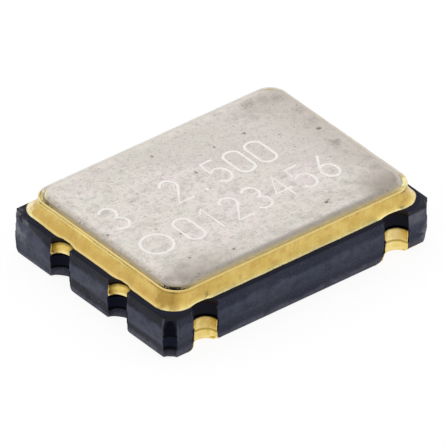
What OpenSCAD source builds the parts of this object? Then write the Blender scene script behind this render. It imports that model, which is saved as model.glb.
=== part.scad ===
// Crystal oscillator in a seam-welded ceramic package, for surface mounting.
// The part stands on its four solder pads, with its long side along X.
// The underside of the pads is at z = 0 and the origin is at the middle.

/* [Body] */
// Length of the ceramic body
body_l = 7.0; // [6.6:0.1:8.4]
// Width of the ceramic body
body_w = 5.2; // [4.9:0.1:6.4]
// Thickness of the lowest ceramic sheet, which is the cavity's floor
floor_sheet = 0.22; // [0.16:0.01:0.32]
// Thickness of the second sheet, which is cut out round the chip
chip_sheet = 0.32; // [0.28:0.01:0.42]
// Thickness of the third sheet, which leaves a shelf for the crystal
shelf_sheet = 0.33; // [0.25:0.01:0.42]
// Thickness of the top sheet, which carries the seal ring
top_sheet = 0.11; // [0.08:0.01:0.2]

/* [Snapped edges] */
// Depth of the score cut made from the top before firing
score_top = 0.25; // [0.1:0.01:0.3]
// Depth of the score cut made from the underside before firing
score_low = 0.38; // [0.1:0.01:0.4]
// How far a score cut leans inwards where it meets the surface
score_lean = 0.035; // [0.01:0.005:0.06]
// How far the snapped band stands out past the cut bands
snap_proud = 0.01; // [0.005:0.001:0.02]
// Size of the small worn edge round the underside
edge_break = 0.03; // [0.01:0.005:0.05]

/* [Recesses] */
// Radius of the terminal recesses in the long sides
terminal_r = 0.3; // [0.2:0.01:0.38]
// Distance between the two terminal recesses of a long side
terminal_pitch = 5.08; // [4.4:0.01:5.6]
// Radius of the contact recesses in the short sides
contact_r = 0.31; // [0.2:0.01:0.38]
// Distance between the two contact recesses of a short side
contact_pitch = 1.9; // [1.2:0.01:2.4]
// Radius of the quarter-round notch down each corner
notch_r = 0.18; // [0.1:0.01:0.25]
// How much wider the punched holes are in every other sheet
punch_step = 0.012; // [0.004:0.001:0.016]

/* [Plating] */
// Thickness of the metal in the recesses
plating_t = 0.02; // [0.018:0.001:0.04]
// Thickness of the solder pads on the underside
pad_t = 0.03; // [0.025:0.001:0.05]
// Length of a solder pad along the package
pad_l = 1.4; // [1.0:0.05:1.8]
// Width of a solder pad across the package
pad_w = 1.1; // [0.8:0.05:1.6]
// Distance from the body's edge to a solder pad
pad_inset = 0.1; // [0.07:0.01:0.2]
// Corner radius of a solder pad
pad_corner = 0.08; // [0.02:0.01:0.15]

/* [Seal ring] */
// Distance from the body's edge to the metallised band under the ring
band_inset = 0.135; // [0.1:0.005:0.2]
// Distance from the body's edge to the ring's outer wall
ring_inset = 0.245; // [0.22:0.005:0.3]
// Width of the ring's section
ring_w = 0.38; // [0.3:0.01:0.45]
// Height of the ring
ring_h = 0.425; // [0.2:0.005:0.6]
// Outer corner radius of the ring
ring_corner = 0.42; // [0.3:0.01:0.6]
// Inner corner radius of the ring
ring_inner_corner = 0.25; // [0.1:0.01:0.4]
// Radius of the ring's rounded upper outer edge
ring_round = 0.035; // [0.01:0.005:0.05]
// Thickness of the braze under the ring
braze_t = 0.02; // [0.015:0.001:0.04]
// Height to which the braze fillet climbs the ring's wall
fillet_h = 0.17; // [0.08:0.01:0.2]

/* [Lid] */
// Distance from the ring's outer wall to the lid's edge
lid_gap = 0.075; // [0.03:0.005:0.08]
// Thickness of the lid inside its weld band
lid_t = 0.09; // [0.07:0.005:0.15]
// Thickness left at the lid's edge after welding
lid_edge_t = 0.035; // [0.02:0.005:0.06]
// Width of the weld band, which slopes down to the edge
weld_band = 0.15; // [0.08:0.01:0.2]
// Outer corner radius of the lid
lid_corner = 0.48; // [0.4:0.01:0.7]

/* [Cavity] */
// Wall left between the cavity and the body's edge
cavity_wall = 0.75; // [0.7:0.01:0.85]
// Corner radius of the cavity
cavity_corner = 0.2; // [0.1:0.01:0.3]
// Length of the pit round the chip
pit_l = 2.9; // [2.6:0.05:3.2]
// Width of the pit round the chip
pit_w = 2.3; // [2.1:0.05:2.4]
// Distance of the pit's middle from the package's middle
pit_x = 0.4; // [0.2:0.05:0.5]
// Length of the shelf that carries the crystal
shelf_l = 0.85; // [0.7:0.05:0.95]

/* [Chip] */
// Length of the chip
chip_l = 1.9; // [1.4:0.05:2.1]
// Width of the chip
chip_w = 1.5; // [1.1:0.05:1.6]
// Thickness of the chip
chip_t = 0.2; // [0.12:0.01:0.24]
// Thickness of the glue under the chip
chip_glue_t = 0.02; // [0.01:0.005:0.04]
// Margin of the die pad round the chip
die_pad_margin = 0.15; // [0.05:0.01:0.25]
// Thickness of the die pad, the bond lands and the crystal lands
land_t = 0.012; // [0.01:0.001:0.02]
// Number of bond wires on each side of the chip
wires_a_side = 5; // [3:1:6]
// Distance between the bond points on the chip
bond_pitch = 0.32; // [0.2:0.01:0.34]
// Distance from the chip's edge to its bond points
bond_margin = 0.1; // [0.06:0.01:0.15]
// Distance between the bond lands on the ledge
land_pitch = 0.44; // [0.3:0.01:0.48]
// Length of a bond land
land_l = 0.4; // [0.3:0.01:0.45]
// Width of a bond land
land_w = 0.22; // [0.15:0.01:0.25]
// Distance from the pit's edge to a bond land
land_gap = 0.08; // [0.05:0.01:0.12]

/* [Bond wires] */
// Radius of the bond wire
wire_r = 0.0125; // [0.01:0.0005:0.016]
// Radius of the ball at the wire's first end
ball_r = 0.038; // [0.03:0.001:0.045]
// Height of the ball
ball_h = 0.02; // [0.012:0.001:0.03]
// Straight rise of the wire above its ball
wire_rise = 0.12; // [0.08:0.01:0.16]
// Radius of the bend at the top of the rise
bend_r = 0.06; // [0.04:0.005:0.08]
// Radius of the flattened stitch at the wire's second end
stitch_r = 0.034; // [0.028:0.001:0.04]
// Height of the stitch
stitch_h = 0.014; // [0.01:0.001:0.02]
// How much thinner the wire is drawn along its straight run
wire_draw = 0.0005; // [0.0003:0.0001:0.001]

/* [Crystal] */
// Length of the quartz blank
blank_l = 4.4; // [3.6:0.1:4.8]
// Width of the quartz blank
blank_w = 1.9; // [1.6:0.1:2.4]
// Thickness of the quartz blank
blank_t = 0.08; // [0.06:0.01:0.15]
// Distance from the cavity's end wall to the blank
blank_gap = 0.25; // [0.2:0.01:0.3]
// Height of the gap between the crystal lands and the blank
blank_lift = 0.03; // [0.02:0.005:0.06]
// Length of an electrode
electrode_l = 2.6; // [1.8:0.1:3.0]
// Width of an electrode
electrode_w = 1.4; // [1.0:0.1:1.5]
// Thickness of an electrode
electrode_t = 0.01; // [0.008:0.001:0.015]
// Width of the lead that joins an electrode to its glue spot
lead_w = 0.3; // [0.2:0.05:0.4]
// Distance between the two glue spots
glue_pitch = 1.3; // [1.0:0.05:1.4]
// Radius of a glue spot on its land
glue_r = 0.27; // [0.2:0.01:0.3]
// Height of a glue spot above the blank
glue_over = 0.03; // [0.02:0.005:0.05]
// Distance from the blank's end to a glue spot's middle
glue_in = 0.1; // [0.05:0.01:0.15]
// Side of a square crystal land
crystal_land = 0.58; // [0.5:0.01:0.62]

/* [Hidden] */
SIDES = [-1, 1];
TERMINALS = 4;
CONTACTS = 4;
WIRES = 2 * wires_a_side;
$fn = 48;

// Heights of the ceramic sheets, from the underside of the pads
sheets = [floor_sheet, chip_sheet, shelf_sheet, top_sheet];
floor_z = pad_t + floor_sheet;
ledge_z = floor_z + chip_sheet;
shelf_z = ledge_z + shelf_sheet;
top_z = shelf_z + top_sheet;
ring_z = top_z + braze_t;
lid_z = ring_z + ring_h;

// Outlines that fit inside one another
band_l = body_l - 2 * band_inset;
band_w = body_w - 2 * band_inset;
fillet_w = ring_inset - band_inset;
ring_l = body_l - 2 * ring_inset;
ring_wide = body_w - 2 * ring_inset;
lid_l = ring_l - 2 * lid_gap;
lid_w = ring_wide - 2 * lid_gap;
cavity_l = body_l - 2 * cavity_wall;
cavity_w = body_w - 2 * cavity_wall;

// Chip and wires
die_pad_z = floor_z + land_t;
chip_z = die_pad_z + chip_glue_t;
chip_top = chip_z + chip_t;
bond_y = chip_w / 2 - bond_margin;
land_y = pit_w / 2 + land_gap + land_l / 2;
land_top = ledge_z + land_t;

// Crystal
blank_x = -cavity_l / 2 + blank_gap;
blank_z = shelf_z + land_t + blank_lift;
blank_top = blank_z + blank_t;
glue_x = blank_x + glue_in;
glue_h = blank_top + glue_over - shelf_z - land_t;
electrode_x = blank_x + blank_l / 2;

// Small overlap that makes cuts run clean through
eps = 0.05;

// How far a wire's straight run starts inside its bend
run_in = 0.003;

CERAMIC = "#33353f";
GOLD = "#d9b45c";
NICKEL = "#cfcac4";
SILICON = "#5b6068";
SILVER = "#b9bbbd";
QUARTZ = "#dfe9ee";
GLUE = "#a9a49a";

// ---- shapes used by several pieces ----

module rounded_rect(l, w, r) {
    square([l - 2 * r, w], center = true);
    square([l, w - 2 * r], center = true);
    for (x = SIDES, y = SIDES)
        translate([x * (l / 2 - r), y * (w / 2 - r)])
            circle(r);
}

module slab(l, w, r, h) {
    linear_extrude(h) rounded_rect(l, w, r);
}

// Sweeps a profile round a rounded rectangle. The profile's x is the distance
// outwards from the path, and its y is the height.
module sweep_round(l, w, r) {
    for (s = SIDES) {
        translate([0, s * w / 2, 0])
            rotate([90, 0, s * 90])
                linear_extrude(l - 2 * r, center = true)
                    children();
        translate([s * l / 2, 0, 0])
            rotate([90, 0, s > 0 ? 0 : 180])
                linear_extrude(w - 2 * r, center = true)
                    children();
    }
    for (x = SIDES, y = SIDES)
        translate([x * (l / 2 - r), y * (w / 2 - r), 0])
            rotate([0, 0, x > 0 ? (y > 0 ? 0 : 270) : (y > 0 ? 90 : 180)])
                rotate_extrude(angle = 90)
                    translate([r, 0])
                        children();
}

// ---- ceramic body ----

// Half of the body's outline across one edge: the two score cuts lean inwards,
// and the band between them, where the body was snapped off, stands proud.
function edge_points(half) = [
    [half - score_lean - edge_break, pad_t],
    [half - score_lean, pad_t + edge_break],
    [half - snap_proud, pad_t + score_low],
    [half, pad_t + score_low],
    [half, top_z - score_top],
    [half - snap_proud, top_z - score_top],
    [half - score_lean, top_z]
];

module section(size) {
    right = edge_points(size / 2);
    left = [for (i = [len(right) - 1:-1:0]) [-right[i][0], right[i][1]]];
    polygon(concat(right, left));
}

module body_blank() {
    intersection() {
        rotate([90, 0, 0])
            linear_extrude(body_w + eps, center = true)
                section(body_l);
        rotate([90, 0, 90])
            linear_extrude(body_l + eps, center = true)
                section(body_w);
    }
}

// Radius of a punched hole in one sheet: every other sheet is a little wider
function punched(r, sheet) = r + (sheet % 2 == 0 ? punch_step : 0);

// Height of the underside of one sheet
function sheet_z(sheet) = sheet == 0 ? pad_t : sheet_z(sheet - 1) + sheets[sheet - 1];

// A hole punched through all the sheets
module punch(r) {
    last = len(sheets) - 1;
    for (i = [0:last])
        translate([0, 0, sheet_z(i) - (i == 0 ? eps : 0)])
            cylinder(r = punched(r, i),
                     h = sheets[i] + (i == 0 || i == last ? eps : 0));
}

// Places of the recesses, numbered round the package
function terminal_at(i) = [
    (i == 1 || i == 4 ? -1 : 1) * terminal_pitch / 2,
    (i < 3 ? -1 : 1) * body_w / 2
];
function contact_at(i) = [
    (i < 3 ? -1 : 1) * body_l / 2,
    (i == 1 || i == 4 ? -1 : 1) * contact_pitch / 2
];

module cavity() {
    translate([pit_x, 0, floor_z])
        slab(pit_l, pit_w, cavity_corner, chip_sheet);
    translate([0, 0, ledge_z])
        intersection() {
            slab(cavity_l, cavity_w, cavity_corner, shelf_sheet);
            translate([-cavity_l / 2 + shelf_l, -cavity_w / 2, 0])
                cube([cavity_l, cavity_w, shelf_sheet]);
        }
    translate([0, 0, shelf_z])
        slab(cavity_l, cavity_w, cavity_corner, top_sheet + eps);
}

module ceramic_body() {
    color(CERAMIC)
        difference() {
            body_blank();
            cavity();
            for (i = [1:TERMINALS])
                translate(terminal_at(i)) punch(terminal_r);
            for (i = [1:CONTACTS])
                translate(contact_at(i)) punch(contact_r);
            for (x = SIDES, y = SIDES)
                translate([x * body_l / 2, y * body_w / 2]) punch(notch_r);
        }
}

// ---- plating ----

// The metal that lines a recess through the sheets from one to another
module lining(r, first, last) {
    for (i = [first:last])
        translate([0, 0, sheet_z(i)])
            difference() {
                cylinder(r = punched(r, i), h = sheets[i]);
                translate([0, 0, -eps])
                    cylinder(r = punched(r, i) - plating_t, h = sheets[i] + 2 * eps);
            }
}

// A solder pad: it starts just inside the body's edge, and its lining carries
// it up the recess through the two lower sheets
module terminal(i) {
    place = terminal_at(i);
    inward = place[1] > 0 ? -1 : 1;
    color(GOLD) {
        difference() {
            translate([place[0], place[1] + inward * (pad_inset + pad_w / 2), 0])
                slab(pad_l, pad_w, pad_corner, pad_t);
            translate([place[0], place[1], -eps])
                cylinder(r = punched(terminal_r, 0) - plating_t, h = pad_t + 2 * eps);
        }
        intersection() {
            translate(place) lining(terminal_r, 0, 1);
            body_blank();
        }
    }
}

// A contact on a short side: it lines the recess in the third sheet only
module side_contact(i) {
    color(GOLD)
        intersection() {
            translate(contact_at(i)) lining(contact_r, 2, 2);
            body_blank();
        }
}

// ---- seal ring, braze and lid ----

// The braze lies under the ring and climbs its outer wall in a hollow fillet
module ring_braze() {
    color(GOLD) {
        translate([0, 0, top_z])
            difference() {
                slab(ring_l, ring_wide, ring_corner, braze_t);
                translate([0, 0, -eps])
                    slab(ring_l - 2 * ring_w, ring_wide - 2 * ring_w,
                         ring_inner_corner, braze_t + 2 * eps);
            }
        translate([0, 0, top_z])
            sweep_round(ring_l, ring_wide, ring_corner)
                fillet_profile();
    }
}

// The fillet's hollow is an arc through its foot and its top
module fillet_profile() {
    foot = [fillet_w, braze_t];
    head = [0, braze_t + fillet_h];
    chord = norm(head - foot);
    bow_r = chord;
    middle = (foot + head) / 2;
    across = [fillet_h, fillet_w] / chord;
    centre = middle + across * sqrt(bow_r * bow_r - chord * chord / 4);
    difference() {
        polygon([[0, 0], [fillet_w, 0], foot, head]);
        translate(centre) circle(bow_r);
    }
}

// The ring is a stamped frame with one rounded edge, the upper outer one
module seal_ring() {
    color(GOLD)
        translate([0, 0, ring_z])
            difference() {
                union() {
                    slab(ring_l - 2 * ring_round, ring_wide - 2 * ring_round,
                         ring_corner - ring_round, ring_h);
                    sweep_round(ring_l, ring_wide, ring_corner)
                        translate([-ring_round, 0]) {
                            square([ring_round, ring_h - ring_round]);
                            translate([0, ring_h - ring_round])
                                intersection() {
                                    circle(ring_round);
                                    square(ring_round);
                                }
                        }
                }
                translate([0, 0, -eps])
                    slab(ring_l - 2 * ring_w, ring_wide - 2 * ring_w,
                         ring_inner_corner, ring_h + 2 * eps);
            }
}

// The lid is a thin plate whose edge the welding rollers have pressed down
module lid() {
    color(NICKEL)
        translate([0, 0, lid_z]) {
            slab(lid_l - 2 * weld_band, lid_w - 2 * weld_band,
                 lid_corner - weld_band, lid_t);
            sweep_round(lid_l, lid_w, lid_corner)
                polygon([[-weld_band, 0], [0, 0], [0, lid_edge_t], [-weld_band, lid_t]]);
        }
}

// ---- chip and bond wires ----

module die_pad() {
    color(GOLD)
        translate([pit_x, 0, floor_z + land_t / 2])
            cube([chip_l + 2 * die_pad_margin, chip_w + 2 * die_pad_margin, land_t],
                 center = true);
}

module die_attach() {
    color(GLUE)
        translate([pit_x, 0, die_pad_z + chip_glue_t / 2])
            cube([chip_l, chip_w, chip_glue_t], center = true);
}

module oscillator_chip() {
    color(SILICON)
        translate([pit_x, 0, chip_z + chip_t / 2])
            cube([chip_l, chip_w, chip_t], center = true);
}

// Wire i goes from its bond point on the chip to its land on the ledge. The
// first half of the wires leave the front side and the others the back side.
function wire_side(i) = i <= wires_a_side ? -1 : 1;
function wire_step(i) = (i - 1) % wires_a_side - (wires_a_side - 1) / 2;
function bond_at(i) = [pit_x + wire_step(i) * bond_pitch, wire_side(i) * bond_y];
function land_at(i) = [pit_x + wire_step(i) * land_pitch, wire_side(i) * land_y];

module bond_land(i) {
    color(GOLD)
        translate([land_at(i)[0], land_at(i)[1], ledge_z + land_t / 2])
            cube([land_w, land_l, land_t], center = true);
}

// A looped wire in the XZ plane, from a ball at the origin to a stitch at
// [span, drop]. The straight run is the tangent from the stitch to the bend.
module looped_wire(span, drop) {
    bend_z = ball_h + wire_rise;
    end_z = drop + stitch_h / 2;
    reach = [span - bend_r, end_z - bend_z];
    far = norm(reach);
    turn = atan2(reach[1], reach[0]) + acos(bend_r / far);
    difference() {
        union() {
            cylinder(r = ball_r, h = ball_h);
            cylinder(r = wire_r, h = bend_z);
            translate([bend_r, 0, bend_z])
                rotate([90, 0, 0])
                    rotate([0, 0, turn])
                        rotate_extrude(angle = 180 - turn)
                            translate([bend_r, 0])
                                circle(wire_r);
            translate([bend_r + bend_r * cos(turn), 0, bend_z + bend_r * sin(turn)])
                rotate([0, 180 - turn, 0])
                    translate([0, 0, -run_in])
                        cylinder(r = wire_r - wire_draw,
                                 h = run_in + sqrt(far * far - bend_r * bend_r));
            translate([span, 0, drop])
                cylinder(r = stitch_r, h = stitch_h);
        }
        translate([span, 0, drop - eps / 2])
            cube([land_l, 4 * stitch_r, eps], center = true);
    }
}

module bond_wire(i) {
    run = land_at(i) - bond_at(i);
    color(GOLD)
        translate([bond_at(i)[0], bond_at(i)[1], chip_top])
            rotate([0, 0, atan2(run[1], run[0])])
                looped_wire(norm(run), land_top - chip_top);
}

// ---- crystal ----

module crystal_land(side) {
    color(GOLD)
        translate([glue_x, side * glue_pitch / 2, shelf_z + land_t / 2])
            cube([crystal_land, crystal_land, land_t], center = true);
}

module crystal_blank() {
    color(QUARTZ)
        translate([blank_x, -blank_w / 2, blank_z])
            cube([blank_l, blank_w, blank_t]);
}

// An electrode covers the middle of a face, and a lead runs to one glue spot
module electrode(side) {
    linear_extrude(electrode_t) {
        translate([electrode_x, 0])
            square([electrode_l, electrode_w], center = true);
        translate([blank_x, side * glue_pitch / 2 - lead_w / 2])
            square([electrode_x - blank_x, lead_w]);
    }
}

module electrode_top() {
    color(SILVER)
        translate([0, 0, blank_top]) electrode(1);
}

module electrode_bottom() {
    color(SILVER)
        translate([0, 0, blank_z - electrode_t]) electrode(-1);
}

// A glue spot is a dome that wraps the blank's end
module glue_spot(side) {
    dome_r = (glue_r * glue_r + glue_h * glue_h) / (2 * glue_h);
    color(GLUE)
        difference() {
            translate([glue_x, side * glue_pitch / 2, shelf_z + land_t])
                intersection() {
                    translate([0, 0, glue_h - dome_r]) sphere(dome_r);
                    cylinder(r = glue_r + eps, h = glue_h + eps);
                }
            translate([blank_x, -blank_w / 2, blank_z])
                cube([blank_l, blank_w, blank_t]);
            if (side > 0) translate([0, 0, blank_top]) electrode(1);
            if (side < 0) translate([0, 0, blank_z - electrode_t]) electrode(-1);
        }
}

// ---- nodes ----

ceramic_body();
ring_braze();
seal_ring();
lid();
for (i = [1:TERMINALS])
    terminal(i);
for (i = [1:CONTACTS])
    side_contact(i);
die_pad();
die_attach();
oscillator_chip();
for (i = [1:WIRES])
    bond_land(i);
for (i = [1:WIRES])
    bond_wire(i);
crystal_land(-1);  // crystal_land_1
crystal_land(1);  // crystal_land_2
glue_spot(-1);  // glue_spot_1
glue_spot(1);  // glue_spot_2
crystal_blank();
electrode_top();
electrode_bottom();
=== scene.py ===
# %% [markdown]
# # A crystal oscillator in a ceramic package
#
# A clock oscillator for a circuit board is a ceramic box about 7 mm long. Four sheets of black
# ceramic are fired into one body with a cavity for a chip and a sliver of quartz. A gold-plated
# ring is brazed on top, and a thin nickel-plated lid is welded to the ring. This lesson starts
# from the exact CAD model and finishes what can be seen: worn and snapped ceramic, plated
# metal, and a lid that has been through a welding machine.

# %% Load the exact model
import math
from functools import partial
import bmesh
import bpy
from mathutils import Euler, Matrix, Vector, noise


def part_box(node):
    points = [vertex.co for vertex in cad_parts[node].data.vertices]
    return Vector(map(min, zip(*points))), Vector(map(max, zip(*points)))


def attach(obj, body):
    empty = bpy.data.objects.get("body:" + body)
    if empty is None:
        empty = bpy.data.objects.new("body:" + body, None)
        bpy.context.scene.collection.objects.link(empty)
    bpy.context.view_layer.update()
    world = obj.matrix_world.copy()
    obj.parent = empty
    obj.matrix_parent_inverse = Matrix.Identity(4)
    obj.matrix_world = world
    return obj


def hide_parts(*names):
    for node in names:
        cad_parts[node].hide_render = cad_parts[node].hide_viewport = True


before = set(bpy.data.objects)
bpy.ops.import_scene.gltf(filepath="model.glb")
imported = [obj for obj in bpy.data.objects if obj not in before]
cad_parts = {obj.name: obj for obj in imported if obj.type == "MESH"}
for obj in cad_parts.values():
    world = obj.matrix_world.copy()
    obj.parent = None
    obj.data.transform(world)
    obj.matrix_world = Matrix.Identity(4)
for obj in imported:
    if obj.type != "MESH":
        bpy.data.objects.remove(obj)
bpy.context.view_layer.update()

# %% [markdown]
# ## Working in millimetres
#
# Blender's editing tools round off distances much smaller than a millimetre, and this package
# has edges of a few hundredths of one. So each new piece is modelled a thousand times too
# large, with one Blender unit for one millimetre, and is shrunk to its real size when it is
# finished. A few small helpers do what a hand would do: deselect everything, pick edges by
# their place, cut.

# %% Helpers for selecting and editing
MM = 0.001
TINY = 1e-4
UP = Vector((0, 0, 1))


def only(piece):
    """Selects one object and nothing else."""
    bpy.ops.object.select_all(action="DESELECT")
    piece.select_set(True)
    bpy.context.view_layer.objects.active = piece


def edit(piece):
    only(piece)
    bpy.ops.object.mode_set(mode="EDIT")
    bpy.ops.mesh.select_all(action="DESELECT")


def done():
    bpy.ops.object.mode_set(mode="OBJECT")


def pick(kind, test):
    """In edit mode, selects the corners, edges or faces that pass a test, and only those."""
    bpy.ops.mesh.select_mode(type=kind)
    bpy.ops.mesh.select_all(action="DESELECT")
    mesh = bpy.context.object.data
    bm = bmesh.from_edit_mesh(mesh)
    things = {"VERT": bm.verts, "EDGE": bm.edges, "FACE": bm.faces}[kind]
    chosen = [t for t in things if test(t)]
    for t in chosen:
        t.select_set(True)
    bmesh.update_edit_mesh(mesh)
    return len(chosen)


def middle(edge):
    return (edge.verts[0].co + edge.verts[1].co) / 2


def upright(edge):
    run = edge.verts[1].co - edge.verts[0].co
    return abs(run.z) > 0.999 * run.length


def mm_box(node):
    """Lowest and highest corner of a CAD node, in millimetres."""
    low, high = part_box(node)
    return low / MM, high / MM


def mm_middle(node, axis):
    """The middle of a CAD node along one axis, in millimetres."""
    return sum(corner[axis] for corner in mm_box(node)) / 2


def freeze():
    """Applies the active piece's place, turn and size, so that its corners hold them."""
    bpy.ops.object.transform_apply(location=True, rotation=True, scale=True)


# %% Helpers for making, cutting and finishing a piece
def block(name, low, high):
    """A cube primitive stretched to reach from one corner to the other."""
    low, high = Vector(low), Vector(high)
    bpy.ops.mesh.primitive_cube_add(size=1, location=(low + high) / 2)
    piece = bpy.context.object
    piece.name = name
    piece.scale = high - low
    freeze()
    return piece


def rounded_block(name, reach_x, reach_y, radius, low, high):
    """A block round the middle of the package with its four upright edges bevelled."""
    piece = block(name, (-reach_x, -reach_y, low), (reach_x, reach_y, high))
    edit(piece)
    pick("EDGE", upright)
    bpy.ops.mesh.bevel(offset=radius, segments=16, affect="EDGES")
    done()
    return piece


def peg(x, y, radius, low, high, sides=64):
    """An upright cylinder primitive."""
    bpy.ops.mesh.primitive_cylinder_add(vertices=sides, radius=radius, depth=high - low,
                                        location=(x, y, (low + high) / 2))
    freeze()
    return bpy.context.object


def cut(piece, cutter):
    """Takes the cutter's shape out of the piece, and removes the cutter."""
    only(piece)
    knife = piece.modifiers.new("cut", "BOOLEAN")
    knife.operation = "DIFFERENCE"
    knife.solver = "EXACT"
    knife.object = cutter
    bpy.ops.object.modifier_apply(modifier=knife.name)
    bpy.data.objects.remove(cutter)


def join(pieces, name):
    """Joins pieces into the first of them."""
    bpy.ops.object.select_all(action="DESELECT")
    for piece in pieces:
        piece.select_set(True)
    bpy.context.view_layer.objects.active = pieces[0]
    if len(pieces) > 1:
        bpy.ops.object.join()
    pieces[0].name = name
    return pieces[0]


def loft(name, loops, marks, label):
    """Stacks rings of corners into a skin: a circle is extruded once for each ring, then every
    corner is put in its place. A skin whose last ring is its first one closes on itself, and any
    other is capped. marks gives each ring, or each corner of it, a number kept under a label."""
    count = len(loops[0])
    bpy.ops.mesh.primitive_circle_add(vertices=count, radius=1)
    piece = bpy.context.object
    piece.name = name
    bpy.ops.object.mode_set(mode="EDIT")
    bpy.ops.mesh.select_all(action="SELECT")
    for _ in loops[1:]:
        bpy.ops.mesh.extrude_region_move(TRANSFORM_OT_translate={"value": (0, 0, 1)})
    done()
    spots = []
    for v in piece.data.vertices:
        level = round(v.co.z)
        turn = round(math.atan2(v.co.y, v.co.x) / math.tau * count) % count
        spots.append((level, turn))
    for v, (level, turn) in zip(piece.data.vertices, spots):
        v.co = loops[level][turn]
    notes = piece.data.attributes.new(label, "FLOAT", "POINT")
    for i, (level, turn) in enumerate(spots):
        mark = marks[level]
        notes.data[i].value = mark[turn] if isinstance(mark, list) else mark
    edit(piece)
    bpy.ops.mesh.select_all(action="SELECT")
    if loops[-1] is loops[0]:
        bpy.ops.mesh.remove_doubles(threshold=TINY / 10)
    else:
        bpy.ops.mesh.fill_holes(sides=0)
    done()
    return piece


def outline(box, radii, long_steps=48, short_steps=36, turns=10):
    """Corners round a rectangle with rounded corners, from left front to right front and on, and
    the way outwards at each. box is left, right, front, back. radii start at the right front."""
    left, right, front, back = box
    centres = [(right - radii[0], front + radii[0]), (right - radii[1], back - radii[1]),
               (left + radii[2], back - radii[2]), (left + radii[3], front + radii[3])]
    spots, ways = [], []
    for n, ((cx, cy), radius) in enumerate(zip(centres, radii)):
        for i in range(turns + 1):
            t = math.radians(90 * (n - 1 + i / turns))
            ways.append(Vector((math.cos(t), math.sin(t), 0)))
            spots.append(Vector((cx, cy, 0)) + ways[-1] * radius)
        steps = short_steps if n % 2 == 0 else long_steps
        nx, ny = centres[(n + 1) % 4]
        start = spots[-1]
        end = Vector((nx, ny, 0)) + ways[-1] * radii[(n + 1) % 4]
        for i in range(1, steps):
            spots.append(start.lerp(end, i / steps))
            ways.append(ways[-1])
    return spots, ways


def raised(line, out, z, wave=lambda p: 0.0):
    """An outline at a height, moved outwards by a distance and by a wave along it."""
    return [p + way * (out + wave(p)) + UP * z for p, way in zip(*line)]


def finished(piece, material, replaced, smooth=35):
    """Turns normals outwards, shrinks the piece to real size, and hangs it on the package."""
    edit(piece)
    bpy.ops.mesh.select_all(action="SELECT")
    bpy.ops.mesh.normals_make_consistent(inside=False)
    done()
    piece.scale = (MM, MM, MM)
    freeze()
    bpy.ops.object.shade_smooth_by_angle(angle=math.radians(smooth))
    piece.data.materials.clear()
    piece.data.materials.append(material)
    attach(piece, "root")
    if replaced:
        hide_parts(*replaced)
    tris = sum(len(p.vertices) - 2 for p in piece.data.polygons)
    print(f"{piece.name}: {len(piece.data.vertices)} corners, {tris} triangles")
    return piece


# %% [markdown]
# ## Camera, floor and light
#
# The package is seen from a little above one corner, from so far away that its edges stay
# nearly parallel. A very long lens does that. The floor is white and catches a faint shadow,
# and the light is even, so that a colour comes out about as it is written.

# %% Camera
def toward(azimuth, elevation):
    """The way from the package to a camera or lamp: turned from the front, then raised."""
    az, el = math.radians(azimuth), math.radians(elevation)
    return Vector((math.sin(az) * math.cos(el), -math.cos(az) * math.cos(el), math.sin(el)))


# The distance is in metres, and the lens and its sensor in millimetres.
DISTANCE, LENS, SENSOR = 0.3612, 1416.3, 36
AIM = Vector((-0.0044, 0.0035, 0.6055)) * MM
direction = toward(-38.78, 34.86)
bpy.ops.object.camera_add(location=AIM + direction * DISTANCE)
camera = bpy.context.object
camera.rotation_euler = direction.to_track_quat("Z", "Y").to_euler()
camera.data.sensor_width = SENSOR
camera.data.lens = LENS
camera.data.clip_start = 0.01
bpy.context.scene.camera = camera
print("camera stands", round(DISTANCE, 3), "m away with a lens of", LENS, "mm")


# %% Helpers for node materials
def put(value, socket):
    """Fills a socket: another socket is linked to it, and a plain value is set on it."""
    if isinstance(value, bpy.types.NodeSocket):
        value.id_data.links.new(value, socket)
    else:
        socket.default_value = value


def add(tree, kind, sockets=None, **options):
    """Adds a node, sets its options, and fills its sockets."""
    node = tree.nodes.new("ShaderNode" + kind)
    for key, value in options.items():
        setattr(node, key, value)
    for key, value in (sockets or {}).items():
        put(value, node.inputs[key])
    return node


def grey(level):
    return (level, level, level, 1)


def srgb(colour):
    """A colour given as 0 to 255 on a screen, as the plain light values that nodes use."""
    shares = [v / 255 for v in colour]
    return (*(v / 12.92 if v <= 0.04045 else ((v + 0.055) / 1.055) ** 2.4 for v in shares), 1)


def maths(operation, a, b=0.0):
    """A sum on two values, at least one of them a socket, whose tree gets the node."""
    tree = (a if isinstance(a, bpy.types.NodeSocket) else b).id_data
    return add(tree, "Math", {0: a, 1: b}, operation=operation).outputs[0]


plus, minus, both_of, most = (partial(maths, operation)
                              for operation in ("ADD", "SUBTRACT", "MULTIPLY", "MAXIMUM"))


def from_value(value, other):
    """How far one value lies from another, either way."""
    return maths("ABSOLUTE", minus(value, other))


def fade(value, start, end, low=0.0, high=1.0):
    """Turns a value into a soft step from low, at start, to high, at end."""
    step = add(value.id_data, "MapRange",
               {"Value": value, "From Min": start, "From Max": end, "To Min": low, "To Max": high},
               interpolation_type="SMOOTHSTEP")
    return step.outputs["Result"]


def blend(amount, under, over):
    """Lays one colour over another. A plain colour is given as 0 to 255 on a screen."""
    mix = add(amount.id_data, "Mix", {"Factor": amount}, data_type="RGBA")
    for socket, colour in ((mix.inputs[6], under), (mix.inputs[7], over)):
        put(srgb(colour) if isinstance(colour, tuple) else colour, socket)
    return mix.outputs[2]


def layers(tone, *coats):
    """Lays colours over a tone one after another, each with its amount."""
    for amount, colour in coats:
        tone = blend(amount, tone, colour)
    return tone


def millimetres(tree, stretch=(1, 1, 1), turn=(0, 0, 0)):
    """Object coordinates in millimetres, stretched or turned for a pattern."""
    coords = tree.nodes.new("ShaderNodeTexCoord")
    scale = tuple(s / MM for s in stretch)
    return add(tree, "Mapping", {"Vector": coords.outputs["Object"], "Scale": scale,
                                 "Rotation": turn}).outputs[0]


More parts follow.
